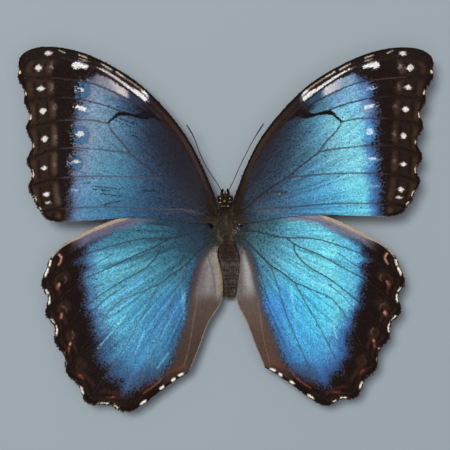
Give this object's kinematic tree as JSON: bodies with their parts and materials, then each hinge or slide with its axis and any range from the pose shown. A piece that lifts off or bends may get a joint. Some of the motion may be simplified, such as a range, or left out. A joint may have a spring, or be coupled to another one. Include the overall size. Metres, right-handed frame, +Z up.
{
  "type": "blue morpho butterfly",
  "caption": "Life-size blue morpho butterfly with wings spread flat, standing on four legs, antennae forward, metallic blue wings with dark borders and pale spots.",
  "frame": {"origin": "on the floor under the middle of the spread wings", "axes": "+Z up from the floor, +Y towards the head, +X towards the insect's own right wing tip"},
  "size_m": [0.116, 0.1021, 0.0132],
  "materials": {
    "wing": "iridescent blue wing scales with a soft metallic sheen, dark brown borders, brown underside",
    "body": "dense dark brown hair and scales",
    "eye": "glossy compound eye",
    "limb": "satin dark cuticle with fine scales",
    "palp": "reddish-brown cuticle and bristles"
  },
  "bodies": {
    "root": {"head": "body", "thorax": "body", "abdomen": "body", "eye_left": "eye", "eye_right": "eye", "palp_left": "palp", "palp_right": "palp", "proboscis": "palp", "antenna_left": "limb", "antenna_right": "limb", "foreleg_left": "limb", "foreleg_right": "limb", "midleg_left": "limb", "midleg_right": "limb", "hindleg_left": "limb", "hindleg_right": "limb", "forewing_left": "wing", "forewing_right": "wing", "hindwing_left": "wing", "hindwing_right": "wing"}
  },
  "joints": []
}
